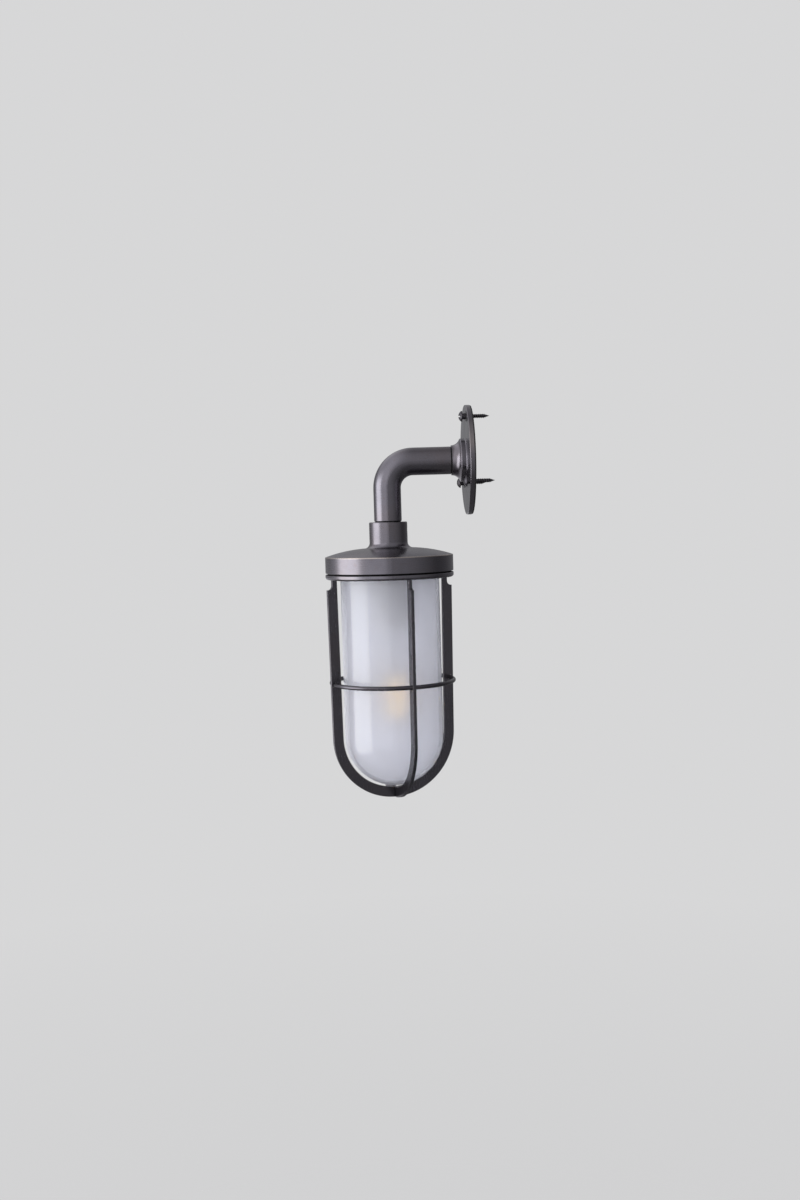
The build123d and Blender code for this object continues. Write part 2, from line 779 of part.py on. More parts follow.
# Glass stem: sealed onto the neck's edge, tapering to a rod with a button at its end
button_top_z = filament_bottom_z - support_gauge
with BuildPart() as lamp_stem:
    with BuildSketch(lamp_section):
        with BuildLine():
            Polyline(
                (0, bulb_top_z + stem_seal_thickness),
                (bulb_seat_outer, bulb_top_z + stem_seal_thickness),
                (bulb_seat_outer, bulb_top_z),
                (bulb_neck_inner - fit_clearance, bulb_top_z),
                (stem_rod_radius, bulb_top_z - stem_flare_height),
                (stem_rod_radius, button_top_z),
                (support_hub_diameter / 2, button_top_z),
                (support_hub_diameter / 2, button_top_z - stem_button_height),
                (0, button_top_z - stem_button_height),
                close=True,
            )
        make_face()
    revolve(axis=lamp_axis)
lamp_stem.part.label = "lamp_stem"
export_step(lamp_stem.part, "parts/lamp_stem.step")

# Two spiders round the rod that hold the filaments' ends
spider_reach = filament_circle / 2 + filament_diameter / 2
with BuildPart() as lamp_supports:
    for height in (button_top_z, filament_top_z):
        with BuildSketch(level(height)):
            Circle(support_hub_diameter / 2)
            for arm in range(filament_count):
                with Locations(Rotation(0, 0, arm * full_turn / filament_count)):
                    with Locations((spider_reach / 2, 0)):
                        Rectangle(spider_reach, support_gauge)
            Circle(stem_rod_radius + fit_clearance, mode=Mode.SUBTRACT)
        extrude(amount=support_gauge)
lamp_supports.part.label = "lamp_supports"
export_step(lamp_supports.part, "parts/lamp_supports.step")

# Upright filaments between the spiders
with BuildPart() as lamp_filaments:
    with BuildSketch(level(filament_bottom_z)):
        with PolarLocations(filament_circle / 2, filament_count):
            Circle(filament_diameter / 2)
    extrude(amount=filament_length)
lamp_filaments.part.label = "lamp_filaments"
export_step(lamp_filaments.part, "parts/lamp_filaments.step")

# Well glass: a flange, a straight wall and a round bottom
hoop_bottom_z = -hoop_drop
glass_centre_z = hoop_bottom_z + hoop_depth + glass_floor_gap + glass_radius
with BuildPart() as well_glass:
    with BuildSketch(lamp_section) as glass_outline:
        with BuildLine():
            Polyline(
                (glass_bore, glass_centre_z),
                (glass_bore, flange_top_z),
                (flange_radius, flange_top_z),
                (flange_radius, flange_bottom_z),
                (glass_radius, flange_bottom_z),
                (glass_radius, glass_centre_z),
            )
            CenterArc((0, glass_centre_z), glass_radius, start_angle=0, arc_size=-quarter_turn)
            Line((0, glass_centre_z - glass_radius), (0, glass_centre_z - glass_bore))
            CenterArc((0, glass_centre_z), glass_bore, start_angle=0, arc_size=-quarter_turn)
        make_face()
        fillet(corner(glass_outline, flange_radius, flange_top_z), glass_flange_round)
        fillet(corner(glass_outline, flange_radius, flange_bottom_z), glass_flange_round)
    revolve(axis=lamp_axis)
well_glass.part.label = "well_glass"
export_step(well_glass.part, "parts/well_glass.step")

# Seal between the cap and the glass
with BuildPart() as glass_gasket:
    with BuildSketch(level(flange_top_z)):
        Circle(seal_radius)
        Circle(glass_bore, mode=Mode.SUBTRACT)
    extrude(amount=upper_seal_thickness)
glass_gasket.part.label = "glass_gasket"
export_step(glass_gasket.part, "parts/glass_gasket.step")

# Seal between the glass and the guard's ring
with BuildPart() as guard_seat:
    with BuildSketch(level(guard_top_z)):
        Circle(seal_radius)
        Circle(guard_bore, mode=Mode.SUBTRACT)
    extrude(amount=lower_seal_thickness)
guard_seat.part.label = "guard_seat"
export_step(guard_seat.part, "parts/guard_seat.step")

# Guard ring: a flange under the rim and a threaded spigot up inside it
guard_thread_top_z = spigot_top_z - guard_thread_lead
guard_root_radius = guard_spigot_radius - guard_thread_depth
with BuildPart() as guard_ring:
    with BuildSketch(lamp_section) as ring_outline:
        with BuildLine():
            Polyline(
                (guard_bore, guard_top_z),
                (guard_spigot_bore, guard_top_z),
                (guard_spigot_bore, spigot_top_z),
                (guard_root_radius, spigot_top_z),
                *thread_outline(
                    guard_spigot_radius,
                    guard_root_radius,
                    guard_thread_top_z,
                    guard_thread_pitch,
                    int((guard_thread_top_z - guard_top_z) / guard_thread_pitch),
                ),
                (guard_spigot_radius, guard_top_z),
                (guard_radius, guard_top_z),
                (guard_radius, guard_bottom_z),
                (guard_bore, guard_bottom_z),
                close=True,
            )
        make_face()
        fillet(corner(ring_outline, guard_radius, guard_bottom_z), guard_edge_round)
        fillet(corner(ring_outline, guard_radius, guard_top_z), cap_edge_round)
    revolve(axis=lamp_axis)
guard_ring.part.label = "guard_ring"
export_step(guard_ring.part, "parts/guard_ring.step")

# One flat-bar hoop before its lap is cut: notched at the top, round at the bottom
hoop_spring_z = hoop_bottom_z + hoop_outer
notch_inner = hoop_top_outer - hoop_notch_depth
notch_bottom_z = guard_bottom_z - hoop_notch_height
with BuildPart() as hoop_blank:
    with BuildSketch(Plane.XZ) as hoop_outline:
        with BuildLine():
            Polyline(
                (hoop_inner, hoop_spring_z),
                (hoop_top_inner, guard_bottom_z),
                (notch_inner, guard_bottom_z),
                (hoop_top_outer, guard_bottom_z),
                (hoop_outer, hoop_spring_z),
            )
            CenterArc((0, hoop_spring_z), hoop_outer, start_angle=0, arc_size=-quarter_turn)
            Line((0, hoop_bottom_z), (0, hoop_spring_z - hoop_inner))
            CenterArc((0, hoop_spring_z), hoop_inner, start_angle=0, arc_size=-quarter_turn)
        make_face()
        with Locations((notch_inner + hoop_depth / 2, guard_bottom_z - hoop_notch_height / 2)):
            Rectangle(hoop_depth, hoop_notch_height, mode=Mode.SUBTRACT)
        fillet(corner(hoop_outline, notch_inner, notch_bottom_z), hoop_notch_depth - hoop_notch_ledge)
        mirror(about=Plane.YZ)
    extrude(amount=hoop_thickness / 2, both=True)
    chamfer(hoop_blank.faces().sort_by(SortBy.AREA)[-2:].edges(), hoop_edge_chamfer)
    with BuildSketch(Plane.XZ):
        with Locations((-band_radius, -band_drop), (band_radius, -band_drop)):
            Circle(band_rod_diameter / 2 + fit_clearance)
    extrude(amount=hoop_thickness, both=True, mode=Mode.SUBTRACT)

# Two hoops that cross under the glass, each cut half through to let the other in
lap_width = hoop_thickness + 2 * fit_clearance
with BuildPart(level(0, hoop_turn)) as guard_hoop_front:
    add(hoop_blank.part)
    with BuildSketch(level(hoop_bottom_z)):
        Rectangle(lap_width, lap_width, rotation=hoop_turn)
    extrude(amount=hoop_depth / 2, mode=Mode.SUBTRACT)
guard_hoop_front.part.label = "guard_hoop_front"
export_step(guard_hoop_front.part, "parts/guard_hoop_front.step")

with BuildPart(level(0, hoop_turn + quarter_turn)) as guard_hoop_side:
    add(hoop_blank.part)
    with BuildSketch(level(hoop_bottom_z + hoop_depth / 2)):
        Rectangle(lap_width, lap_width, rotation=hoop_turn)
    extrude(amount=hoop_depth, mode=Mode.SUBTRACT)
guard_hoop_side.part.label = "guard_hoop_side"
export_step(guard_hoop_side.part, "parts/guard_hoop_side.step")

# Round rod that ties the four ribs together
with BuildPart() as guard_band:
    with BuildSketch(lamp_section):
        with Locations((band_radius, -band_drop)):
            Circle(band_rod_diameter / 2)
    revolve(axis=lamp_axis)
guard_band.part.label = "guard_band"
export_step(guard_band.part, "parts/guard_band.step")
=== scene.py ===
"""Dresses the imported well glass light: materials, the lamp's glow, a plain studio and the camera.

Everything is in metres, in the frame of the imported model: the wall plane is Y = 0, the
light stands out along -Y and +Z is up.
"""

import json
import math

import bpy
from mathutils import Matrix, Vector


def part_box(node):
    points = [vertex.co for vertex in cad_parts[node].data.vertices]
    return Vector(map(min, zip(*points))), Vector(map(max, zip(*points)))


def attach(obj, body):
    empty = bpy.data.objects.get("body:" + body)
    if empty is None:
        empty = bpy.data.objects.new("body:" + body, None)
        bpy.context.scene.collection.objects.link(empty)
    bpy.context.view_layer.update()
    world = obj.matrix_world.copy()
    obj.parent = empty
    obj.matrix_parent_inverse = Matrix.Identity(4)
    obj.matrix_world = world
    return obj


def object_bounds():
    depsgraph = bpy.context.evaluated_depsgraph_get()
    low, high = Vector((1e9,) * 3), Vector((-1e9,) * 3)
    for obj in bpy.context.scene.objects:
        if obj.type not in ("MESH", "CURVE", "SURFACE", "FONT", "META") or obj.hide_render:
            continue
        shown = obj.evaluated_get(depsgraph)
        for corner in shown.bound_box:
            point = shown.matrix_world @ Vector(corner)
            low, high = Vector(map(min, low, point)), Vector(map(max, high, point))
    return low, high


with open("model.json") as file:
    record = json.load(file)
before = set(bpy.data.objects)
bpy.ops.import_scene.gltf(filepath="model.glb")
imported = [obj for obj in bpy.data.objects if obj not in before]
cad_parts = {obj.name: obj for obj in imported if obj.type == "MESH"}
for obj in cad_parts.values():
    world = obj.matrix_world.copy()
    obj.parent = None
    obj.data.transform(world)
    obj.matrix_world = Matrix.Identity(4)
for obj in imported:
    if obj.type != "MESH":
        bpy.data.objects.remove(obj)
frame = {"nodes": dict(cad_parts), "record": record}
cad_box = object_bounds()

MM = 0.001
UPRIGHT = (0, 0, 1)
INTO_WALL = (0, 1, 0)

# The camera that fits the photograph's edges, for an image of 800 by 1200 pixels
IMAGE_HEIGHT = 1200
FOCAL_PIXELS = 1375.5
SENSOR_HEIGHT = 36.0
CAMERA_PLACE = Vector((1.2704, -0.1208, -0.0461))
CAMERA_YAW = math.radians(2.323)
CAMERA_PITCH = math.radians(3.661)
CAMERA_ROLL = math.radians(-1.660)

# Sizes of the gaps, grooves and hoop crossings where shade is painted as black lines
GROOVE_SHADE_WIDTH = 1.1 * MM
RIM_GAP = 1.3 * MM
GAP_INSET = 0.5 * MM
GAP_MARGIN = 0.1 * MM
HOOP_CLOCK = math.radians(17)
HOOP_THICKNESS = 3.2 * MM
HOOP_SHADE_REACH = 0.5 * MM

# Sizes of the places where the patina is worn, where the cap's rim edge also carries a painted
# highlight, and where the plate's face is darkened as painted shade
EDGE_RADIUS = 0.35 * MM
RIM_HEIGHT = 14.8 * MM
EDGE_WEAR_HIGHLIGHT_WIDTH = 0.6 * MM
RUBBED_PATCH = 17.0 * MM
RUBBED_RISE = 20.0 * MM
FACE_INSET = 0.7 * MM

# Sizes of the well glass and of the lamp's filaments
GLASS_WALL = 3.5 * MM
ETCH_DEPTH = 0.8 * MM
CHIP_PITCH = 1.5 * MM
GLOW_REACH = 7.0 * MM

# Threads of the wall screws, and the place of the first screw
THREAD_CREST = 2.1 * MM
THREAD_PITCH = 1.7 * MM
THREAD_BASE = 0.9 * MM
THREAD_SINK = 0.1 * MM
THREAD_STEPS = 20
POINT_LENGTH = 5.0 * MM
POINT_RIDGE = 0.4
FIRST_SCREW_DEGREES = 90

# The low and high end of most noise
NOISE_SPAN = (0.3, 0.7)

# A range, as remap takes it, is the low and high end of a value, then what these become
MOTTLE_RANGE = (0.35, 0.68, 0.0, 1.0)

# Bronze: colours, scales of the noise in the patina, and its share in the colour and the gloss
BRONZE_DARK = (0.122, 0.115, 0.130)
BRONZE_LIGHT = (0.227, 0.215, 0.240)
BRONZE_BROWN = (0.150, 0.108, 0.090)
# Colour of worn patina, which along the cap's rim edge is also a painted highlight
BRONZE_WORN_AND_HIGHLIGHT = (0.560, 0.490, 0.435)
# Painted shade: the share of the colour left on the plate's flat face
FACE_SHADE = 0.6
CLOUD_SCALE = 42.0
WARMTH_SCALE = 21.0
SPOT_SCALE = 310.0
CLOUD_RANGE = (0.30, 0.72, 0.35, 0.75)
WARMTH_RANGE = (0.48, 0.70, 0.0, 0.28)
SPOT_RANGE = (0.60, 0.76, 0.0, 0.30)
LINE_RANGE = (0.42, 0.70, 0.0, 0.20)
CLOUD_GLOSS_RANGE = (0.35, 0.70, 0.03, -0.03)
LINE_SMOOTHER = 0.03
LINE_ROUGHER = 0.04
LINE_BUMP = 0.04
LINE_DEPTH = 0.01 * MM
# Painted shade in narrow gaps and grooves: black, dull and not metallic
PAINTED_SHADE_BLACK = (0.006, 0.006, 0.007)
PAINTED_SHADE_ROUGHNESS = 0.8

# Grain: how finely the lines lie along each axis
LATHE_GRAIN = (3200, 3200, 1)
BAR_GRAIN = (2600, 2600, 70)
CAST_GRAIN = (3000, 3000, 3000)
SCRATCH_GRAIN = (2400, 2400, 220)
WAVE_GRAIN = (60, 60, 6)

# Wear: how much of the patina is worn off, and the scales of the noise that breaks it up; along the
# cap's rim edge this is also a painted highlight
EDGE_TURN_RANGE = (0.80, 0.985, 1.0, 0.0)
EDGE_WEAR_RANGE = (0.40, 0.62, 0.05, 0.35)
RIM_WEAR_HIGHLIGHT_SCALE = 30.0
RIM_WEAR_HIGHLIGHT_RANGE = (0.35, 0.65, 0.35, 0.95)
PLATE_WEAR = 0.45
PLATE_WEAR_SCALE = 60.0
PLATE_WEAR_RANGE = (0.30, 0.60, 0.45, 1.0)

# Well glass
GLASS_TINT = (0.965, 0.970, 1.0)
GLASS_TINT_PALE = (0.98, 0.98, 1.0)
TINT_SCALE = 14.0
ETCH_SCATTER = 0.42
ETCH_SCALE = 900.0
ETCH_ROUGHNESS = 0.56
ETCH_VARIATION = 0.05
SMEAR_SCALE = 60.0
SMEAR_ROUGHNESS = (0.08, 0.12)
WAVE_BUMP = 0.02
WAVE_DEPTH = 0.3 * MM

# Rubber
RUBBER_BLACK = (0.012, 0.012, 0.012)
RUBBER_DUST = (0.035, 0.034, 0.033)
RUBBER_ROUGHNESS = (0.6, 0.8)
DUST_SCALE = 130.0
DUST_RANGE = (0.4, 0.7, 0.0, 1.0)
RUBBER_FINE_SCALE = 1400.0
RUBBER_BUMP = 0.2
RUBBER_DEPTH = 0.05 * MM

# Plain metals and glazes: the darker and the lighter colour of each
ZINC = ((0.42, 0.43, 0.46), (0.62, 0.63, 0.64))
BRASS = ((0.62, 0.42, 0.16), (0.82, 0.62, 0.30))
NICKEL = ((0.50, 0.48, 0.45), (0.70, 0.68, 0.65))
SOLDER = ((0.42, 0.42, 0.43), (0.62, 0.62, 0.62))
WIRE = ((0.45, 0.43, 0.40), (0.62, 0.60, 0.56))
# A grey glaze, darker than the white one, as painted shade on the lamp holder inside the glass
PORCELAIN_SHADED = ((0.58, 0.57, 0.55), (0.70, 0.69, 0.66))
VITRITE = ((0.010, 0.010, 0.012), (0.022, 0.021, 0.024))
METAL_SCALE = 160.0
SCRATCH_SMOOTHER = 0.06
SCRATCH_ROUGHER = 0.08
SCRATCH_BUMP = 0.1
SCRATCH_DEPTH = 0.03 * MM
GLAZE_SCALE = 55.0
GLAZE_ROUGHNESS = (0.16, 0.28)

# The lamp's glass and its glow
LAMP_GLASS = ((0.97, 0.97, 0.96), (1.0, 0.99, 0.97))
FILM_SCALE = 40.0
FILM_ROUGHNESS = (0.18, 0.24)
PHOSPHOR = ((0.85, 0.62, 0.22), (0.95, 0.78, 0.40))
GLOW_COLOR = (1.0, 0.64, 0.16)
GLOW_STRENGTH = 3.3
GLOW_FAR_SHARE = 0.08
GLOW_BETWEEN_CHIPS = 0.8

# Background and floor
BACKGROUND = (0.68, 0.68, 0.685)
FLOOR_HEIGHT = -1.1
FLOOR_RADIUS = 2.6
FLOOR_SIDES = 96
FLOOR_FADE = (0.2, 0.95)
FLOOR_SHARE = 0.85
FLOOR_COLORS = ((0.48, 0.48, 0.48), (0.52, 0.52, 0.525))
FLOOR_SCALE = 3.0
FLOOR_REFLECTED = (0.20, 0.20, 0.20)

# Key light
KEY_TOWARD = Vector((0.174, -0.985, -0.075))
KEY_DISTANCE = 1.5
KEY_SIZE = (1.46, 2.04)
KEY_POWER = 25.0
KEY_FADE = (0.12, 0.24)
KEY_COLOR = (0.965, 0.985, 1.0)

# Surroundings that light the object and are reflected in it: the lit side is away from the wall
SURROUND_TINT = (0.985, 0.985, 1.03)
WALL_SIDE = (0.065, 1.0, 0.0)
LIT_EDGE = (-0.055, -0.010)
LIT_SPREAD = 0.5
LIT_LEVEL = 0.78
SHADE_BEHIND_RANGE = (-0.70, -0.30, 0.95, 0.0)
SHADE_TOP_RANGE = (0.38, 0.60, 1.0, 0.0)
SHADE_FOOT_RANGE = (-0.10, -0.05, 0.10, 1.0)
DARK_LEVEL = 0.125
FRONT_LEVEL = 0.34
BACK_LEVEL = 0.16
BACK_RISE_RANGE = (0.0, 0.5, 0.75, 1.2)
UPPER_LEVEL = 0.20
LOWER_RANGE = (-0.95, 0.10, 0.2, 1.0)

# Surroundings as they are seen through the glass
THROUGH_GLASS = (0.82, 0.83, 0.91)
THROUGH_BRIGHT = 1.36
THROUGH_DARK = 0.88
THROUGH_REACH = 0.80

# Places read from the frame
glass_low, glass_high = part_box("well_glass")
lamp_axis = Vector((0, (glass_low.y + glass_high.y) / 2, 0))
arm_axis = Vector((0, 0, 0))
guard_ring_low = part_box("guard_ring")[0].z
glass_radius = max(
    (point.co.xy - lamp_axis.xy).length
    for point in frame["nodes"]["well_glass"].data.vertices
    if point.co.z < guard_ring_low
)
glass_centre = Vector((lamp_axis.x, lamp_axis.y, glass_low.z + glass_radius))


# Short calls for node trees

# Sockets of a Mix node, which has some for numbers and others for colours
MIX_NUMBERS = (2, 3)
MIX_COLORS = (6, 7)
MIXED_COLOR = 2


def node(tree, kind, inputs=None, **settings):
    """Adds a node, sets its settings, and sets or links its inputs."""
    made = tree.nodes.new("ShaderNode" + kind)
    for name, value in settings.items():
        setattr(made, name, value)
    for key, value in (inputs or {}).items():
        if isinstance(value, bpy.types.NodeSocket):
            tree.links.new(value, made.inputs[key])
        else:
            made.inputs[key].default_value = value
    return made


def calculate(tree, operation, *values):
    """A Math node's result."""
    return node(tree, "Math", dict(enumerate(values)), operation=operation).outputs[0]


def product(tree, first, *others):
    """Values multiplied with each other."""
    result = first
    for other in others:
        result = calculate(tree, "MULTIPLY", result, other)
    return result


def between(tree, value, low, high):
    """1 where a value lies between two others, else 0."""
    above = calculate(tree, "GREATER_THAN", value, low)
    return product(tree, above, calculate(tree, "LESS_THAN", value, high))


def remap(tree, value, low, high, to_low, to_high):
    """A value between low and high, moved to lie between to_low and to_high."""
    inputs = {0: value, 1: low, 2: high, 3: to_low, 4: to_high}
    return node(tree, "MapRange", inputs).outputs[0]


def vector_math(tree, operation, *values):
    """A Vector Math node, whose result is under Vector or Value."""
    return node(tree, "VectorMath", dict(enumerate(values)), operation=operation).outputs


def offset(tree, vector, centre):
    return vector_math(tree, "SUBTRACT", vector, centre)["Vector"]


def dot(tree, first, second):
    return vector_math(tree, "DOT_PRODUCT", first, second)["Value"]


def length(tree, vector):
    return vector_math(tree, "LENGTH", vector)["Value"]


def scaled(tree, vector, factor):
    """A vector or colour times a number."""
    return node(tree, "VectorMath", {0: vector, "Scale": factor}, operation="SCALE").outputs[0]


def parts(tree, vector):
    """The three numbers of a vector."""
    return list(node(tree, "SeparateXYZ", {0: vector}).outputs)


def blend(tree, factor, first, second):
    """A colour between two others."""
    colors = [
        color if isinstance(color, bpy.types.NodeSocket) else (*color, 1.0)
        for color in (first, second)
    ]
    inputs = {0: factor, **dict(zip(MIX_COLORS, colors))}
    return node(tree, "Mix", inputs, data_type="RGBA").outputs[MIXED_COLOR]


def mix(tree, factor, first, second):
    """A number between two others."""
    inputs = {0: factor, **dict(zip(MIX_NUMBERS, (first, second)))}
    return node(tree, "Mix", inputs, data_type="FLOAT").outputs[0]


def noise(tree, vector, scale=1.0, detail=3.0, roughness=0.55):
    inputs = {"Vector": vector, "Scale": scale, "Detail": detail, "Roughness": roughness}
    return node(tree, "TexNoise", inputs).outputs[0]


def bump(tree, height, strength, depth):
    inputs = {"Strength": strength, "Distance": depth, "Height": height}
    return node(tree, "Bump", inputs).outputs[0]


def place(tree):
    """The place of a point on the object, in the frame."""
    return node(tree, "TexCoord").outputs["Object"]


def stretched(tree, vector, scale):
    """Coordinates scaled along each axis, for grain that runs one way."""
    return node(tree, "Mapping", {"Vector": vector, "Scale": scale}).outputs[0]


def turned(tree, centre, axis):
    """Coordinates (radius, height, 0) about an axis, as a lathe sees them."""
    moved = offset(tree, place(tree), centre)
    across = [1 - part for part in axis]
    radius = length(tree, vector_math(tree, "MULTIPLY", moved, across)["Vector"])
    return node(tree, "CombineXYZ", {0: radius, 1: dot(tree, moved, axis)}).outputs[0]


def about_lamp(tree):
    """Coordinates about the upright axis of the lamp, the glass and the cap."""
    return turned(tree, lamp_axis, UPRIGHT)


def about_arm(tree):
    """Coordinates about the level axis of the arm and the wall plate."""
    return turned(tree, arm_axis, INTO_WALL)


def new_material(name, **values):
    """A material with a Principled surface, whose plain values are set by input name."""
    made = bpy.data.materials.new(name)
    made.use_nodes = True
    surface = made.node_tree.nodes["Principled BSDF"]
    for key, value in values.items():
        surface.inputs[key.replace("_", " ")].default_value = value
    return made, made.node_tree, surface


def join(tree, surface, **sources):
    """Links results to a surface's inputs, by input name."""
    for key, source in sources.items():
        tree.links.new(source, surface.inputs[key.replace("_", " ")])


# Bronze


def bronze(name, grain, shade=1.0, roughness=0.34, joint=None, wear_and_highlight=None, face_shade=None):
    """Dark bronze patina: clouded colour, and fine lines along the grain.

    grain takes a tree and returns the coordinates that the fine lines follow. The mask for gaps
    does the same: it is 1 in narrow gaps and grooves, which are painted black and dull as shade.
    The mask for wear gives the places where hands and tools have worn the patina brown, which along
    the cap's rim edge is also a painted highlight. The factor for the face darkens the patina as
    painted shade.
    """
    made, tree, surface = new_material(name, Metallic=1.0)
    where = place(tree)
    clouds = noise(tree, where, CLOUD_SCALE, detail=5.0, roughness=0.6)
    warmth = noise(tree, where, WARMTH_SCALE, detail=2.0)
    spots = noise(tree, where, SPOT_SCALE, detail=2.0)
    lines = noise(tree, grain(tree), roughness=0.6)

    dark, light, brown = (
        [part * shade for part in color] for color in (BRONZE_DARK, BRONZE_LIGHT, BRONZE_BROWN)
    )
    color = blend(tree, remap(tree, clouds, *CLOUD_RANGE), dark, light)
    color = blend(tree, remap(tree, warmth, *WARMTH_RANGE), color, brown)
    color = blend(tree, remap(tree, spots, *SPOT_RANGE), color, brown)
    color = blend(tree, remap(tree, lines, *LINE_RANGE), color, light)
    # Painted shade: a factor that darkens part of the patina
    if face_shade:
        color = scaled(tree, color, face_shade(tree))
    # Worn patina, which along the cap's rim edge is also a painted highlight
    if wear_and_highlight:
        color = blend(tree, wear_and_highlight(tree), color, BRONZE_WORN_AND_HIGHLIGHT)

    smoother, rougher = roughness - LINE_SMOOTHER, roughness + LINE_ROUGHER
    matt = remap(tree, lines, *NOISE_SPAN, smoother, rougher)
    matt = calculate(tree, "ADD", matt, remap(tree, clouds, *CLOUD_GLOSS_RANGE))
    # Painted shade: narrow gaps and grooves are made black, dull and not metallic
    if joint:
        gap = joint(tree)
        color = blend(tree, gap, color, PAINTED_SHADE_BLACK)
        matt = calculate(tree, "MAXIMUM", matt, product(tree, gap, PAINTED_SHADE_ROUGHNESS))
        join(tree, surface, Metallic=calculate(tree, "SUBTRACT", 1.0, gap))
    normal = bump(tree, lines, LINE_BUMP, LINE_DEPTH)
    join(tree, surface, Base_Color=color, Roughness=matt, Normal=normal)
    return made


def lamp_turned_grain(tree):
    return stretched(tree, about_lamp(tree), LATHE_GRAIN)


def wall_turned_grain(tree):
    return stretched(tree, about_arm(tree), LATHE_GRAIN)


def upright_grain(tree):
    return stretched(tree, place(tree), BAR_GRAIN)


def cast_grain(tree):
    return stretched(tree, place(tree), CAST_GRAIN)


def arm_groove_shade(tree):
    """A mask of painted shade in and just beside the fine grooves in the arm, beside its socket and
    above the cap's collar.
    """
    along, height = parts(tree, place(tree))[1:]
    socket_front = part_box("arm_socket")[0].y
    collar_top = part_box("cap")[1].z
    beside = between(tree, along, socket_front - GROOVE_SHADE_WIDTH, socket_front)
    above = between(tree, height, collar_top, collar_top + GROOVE_SHADE_WIDTH)
    return calculate(tree, "MAXIMUM", beside, above)


def under_rim_shade(tree):
    """A mask of painted shade: the faces inside the gap between the cap's rim and the guard's ring.
    """
    cap_low, cap_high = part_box("cap")
    radius, height = parts(tree, about_lamp(tree))[:2]
    inside = calculate(tree, "LESS_THAN", radius, cap_high.x - GAP_INSET)
    ring_top = cap_low.z - RIM_GAP
    level = between(tree, height, ring_top - GAP_MARGIN, cap_low.z + GAP_MARGIN)
    return product(tree, inside, level)


def hoop_crossing_shade(tree):
    """A mask of painted shade on the side hoop: thin bands beside the front hoop, where it meets it
    under the glass.
    """
    where = place(tree)
    across = (-math.sin(HOOP_CLOCK), math.cos(HOOP_CLOCK), 0)
    beside = calculate(tree, "ABSOLUTE", dot(tree, offset(tree, where, lamp_axis), across))
    half = HOOP_THICKNESS / 2
    shaded_band = between(tree, beside, half + GAP_MARGIN, half + HOOP_SHADE_REACH)
    return product(tree, shaded_band, calculate(tree, "LESS_THAN", parts(tree, where)[2], glass_low.z))


def rubbed_edges(tree):
    """A mask of all sharp edges, broken by the clouds in the patina."""
    rounded = node(tree, "Bevel", {"Radius": EDGE_RADIUS}, samples=4).outputs[0]
    facing = dot(tree, rounded, node(tree, "NewGeometry").outputs["Normal"])
    clouds = noise(tree, place(tree), CLOUD_SCALE)
    edge = remap(tree, facing, *EDGE_TURN_RANGE)
    return product(tree, edge, remap(tree, clouds, *EDGE_WEAR_RANGE))


def rim_wear_and_highlight(tree):
    """A mask of the cap's sharp upper edge, broken by clouds: worn patina, and a painted highlight
    along the edge's rounding.
    """
    cap_low, cap_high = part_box("cap")
    radius, height = parts(tree, about_lamp(tree))[:2]
    rim_top = cap_low.z + RIM_HEIGHT
    level = between(tree, height, rim_top - EDGE_WEAR_HIGHLIGHT_WIDTH, rim_top + EDGE_WEAR_HIGHLIGHT_WIDTH)
    outside = calculate(tree, "GREATER_THAN", radius, cap_high.x - 2 * EDGE_WEAR_HIGHLIGHT_WIDTH)
    clouds = noise(tree, place(tree), RIM_WEAR_HIGHLIGHT_SCALE)
    return product(tree, level, outside, remap(tree, clouds, *RIM_WEAR_HIGHLIGHT_RANGE))


def rubbed_plate(tree):
    """A mask of a long patch on the plate's outer edge, where it is held to be screwed on."""
    where = place(tree)
    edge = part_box("wall_plate")[1].x
    radius = parts(tree, about_arm(tree))[0]
    outside = calculate(tree, "GREATER_THAN", radius, edge - EDGE_WEAR_HIGHLIGHT_WIDTH)
    above = calculate(tree, "SUBTRACT", parts(tree, where)[2], RUBBED_RISE)
    away = calculate(tree, "ABSOLUTE", above)
    patch = remap(tree, away, 0.0, RUBBED_PATCH, PLATE_WEAR, 0.0)
    clouds = noise(tree, where, PLATE_WEAR_SCALE)
    return product(tree, outside, patch, remap(tree, clouds, *PLATE_WEAR_RANGE))


def plate_face_shade(tree):
    """Painted shade on the plate's patina: darker on its flat face than on its edge and its raised
    ring.
    """
    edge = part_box("wall_plate")[1].x
    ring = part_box("arm_socket")[1].x
    radius = parts(tree, about_arm(tree))[0]
    outer = remap(tree, radius, edge - 2 * FACE_INSET, edge - FACE_INSET, FACE_SHADE, 1.0)
    inner = remap(tree, radius, ring + FACE_INSET, ring + 2 * FACE_INSET, 1.0, FACE_SHADE)
    return calculate(tree, "MAXIMUM", outer, inner)


# Glass, rubber, plain metals and the lamp


